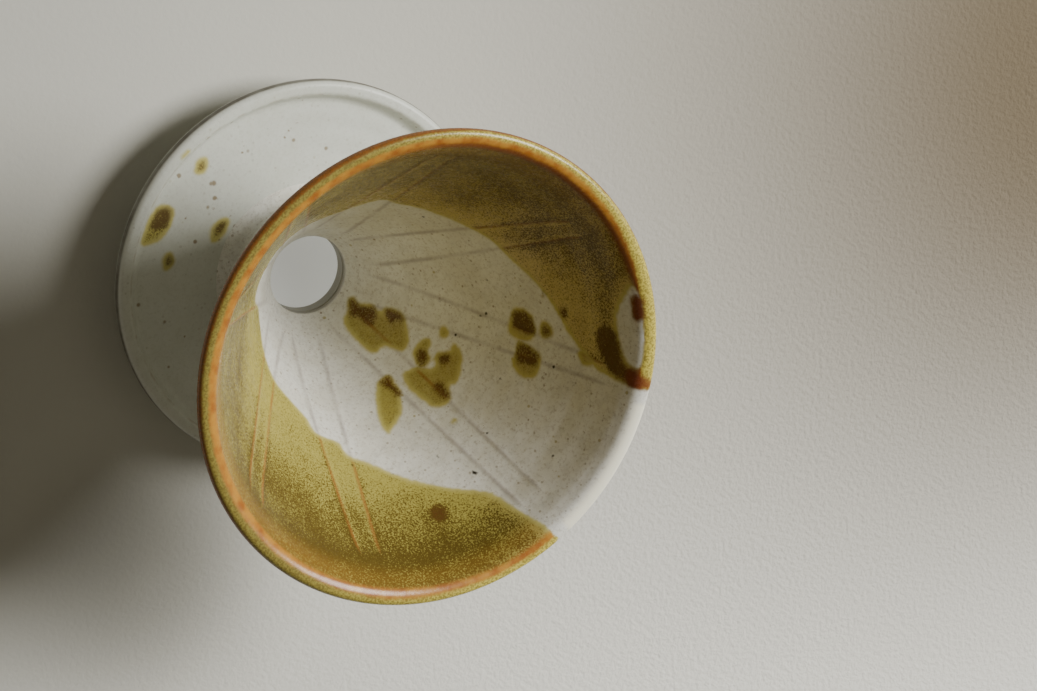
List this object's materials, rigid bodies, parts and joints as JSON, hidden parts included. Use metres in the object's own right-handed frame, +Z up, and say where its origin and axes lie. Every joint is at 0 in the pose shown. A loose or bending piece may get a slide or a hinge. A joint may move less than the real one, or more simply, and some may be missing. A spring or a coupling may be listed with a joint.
{
  "type": "pour over coffee dripper",
  "caption": "Hand-thrown stoneware pour over coffee dripper: a ribbed conical filter holder on a wide saucer with a locating ring under it.",
  "frame": {"origin": "centre of the locating ring's flat underside, on the cone's axis", "axes": "+Z up along the cone's axis from the ring to the rim; +X lies 25 degrees clockwise, seen from above, of a pair of paper ribs"},
  "size_m": [0.12, 0.12, 0.096],
  "materials": {
    "cone_glaze": "satin white glaze overlapped by a mottled olive ash glaze that breaks orange at the rim",
    "saucer_glaze": "satin white glaze with iron specks and olive spots",
    "coil_glaze": "satin white glaze",
    "ring_clay": "bare toasted stoneware below, white glaze above",
    "joint_slip": "satin white glaze over slip"
  },
  "bodies": {
    "root": {"cone": "cone_glaze", "saucer": "saucer_glaze", "cone_joint_coil": "coil_glaze", "locating_ring": "ring_clay", "ring_joint_slip": "joint_slip"}
  },
  "joints": []
}
